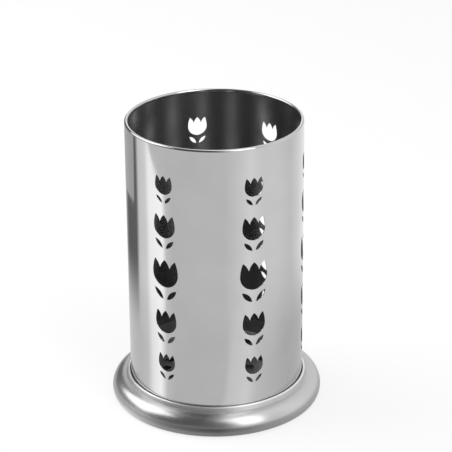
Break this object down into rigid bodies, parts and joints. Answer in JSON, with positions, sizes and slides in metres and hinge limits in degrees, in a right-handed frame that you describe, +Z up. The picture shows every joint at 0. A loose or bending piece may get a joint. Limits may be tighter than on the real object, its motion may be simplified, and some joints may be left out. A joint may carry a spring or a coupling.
{
  "type": "cutlery drainer",
  "caption": "Round steel cutlery drainer: a tall basket with a curled rim, drain windows and a raised holed bottom, lifting out of a spun drip tray.",
  "frame": {"origin": "on the table, on the basket's axis, in the plane of the drip tray's hem", "axes": "+Z up along the basket's axis; -Y is the side that the picture shows"},
  "size_m": [0.119, 0.119, 0.165],
  "materials": {
    "polished_steel": "bright polished rolled sheet",
    "plain_steel": "mill bright pressed sheet",
    "satin_steel": "satin, spun"
  },
  "bodies": {
    "tray": {"drip_tray": "satin_steel"},
    "basket": {"body_tube": "polished_steel", "drain_bottom": "plain_steel"}
  },
  "joints": [
    {"name": "basket_lift", "type": "slide", "parent": "tray", "child": "basket", "axis": [0, 0, 1], "range_m": [0, 0.03]}
  ]
}
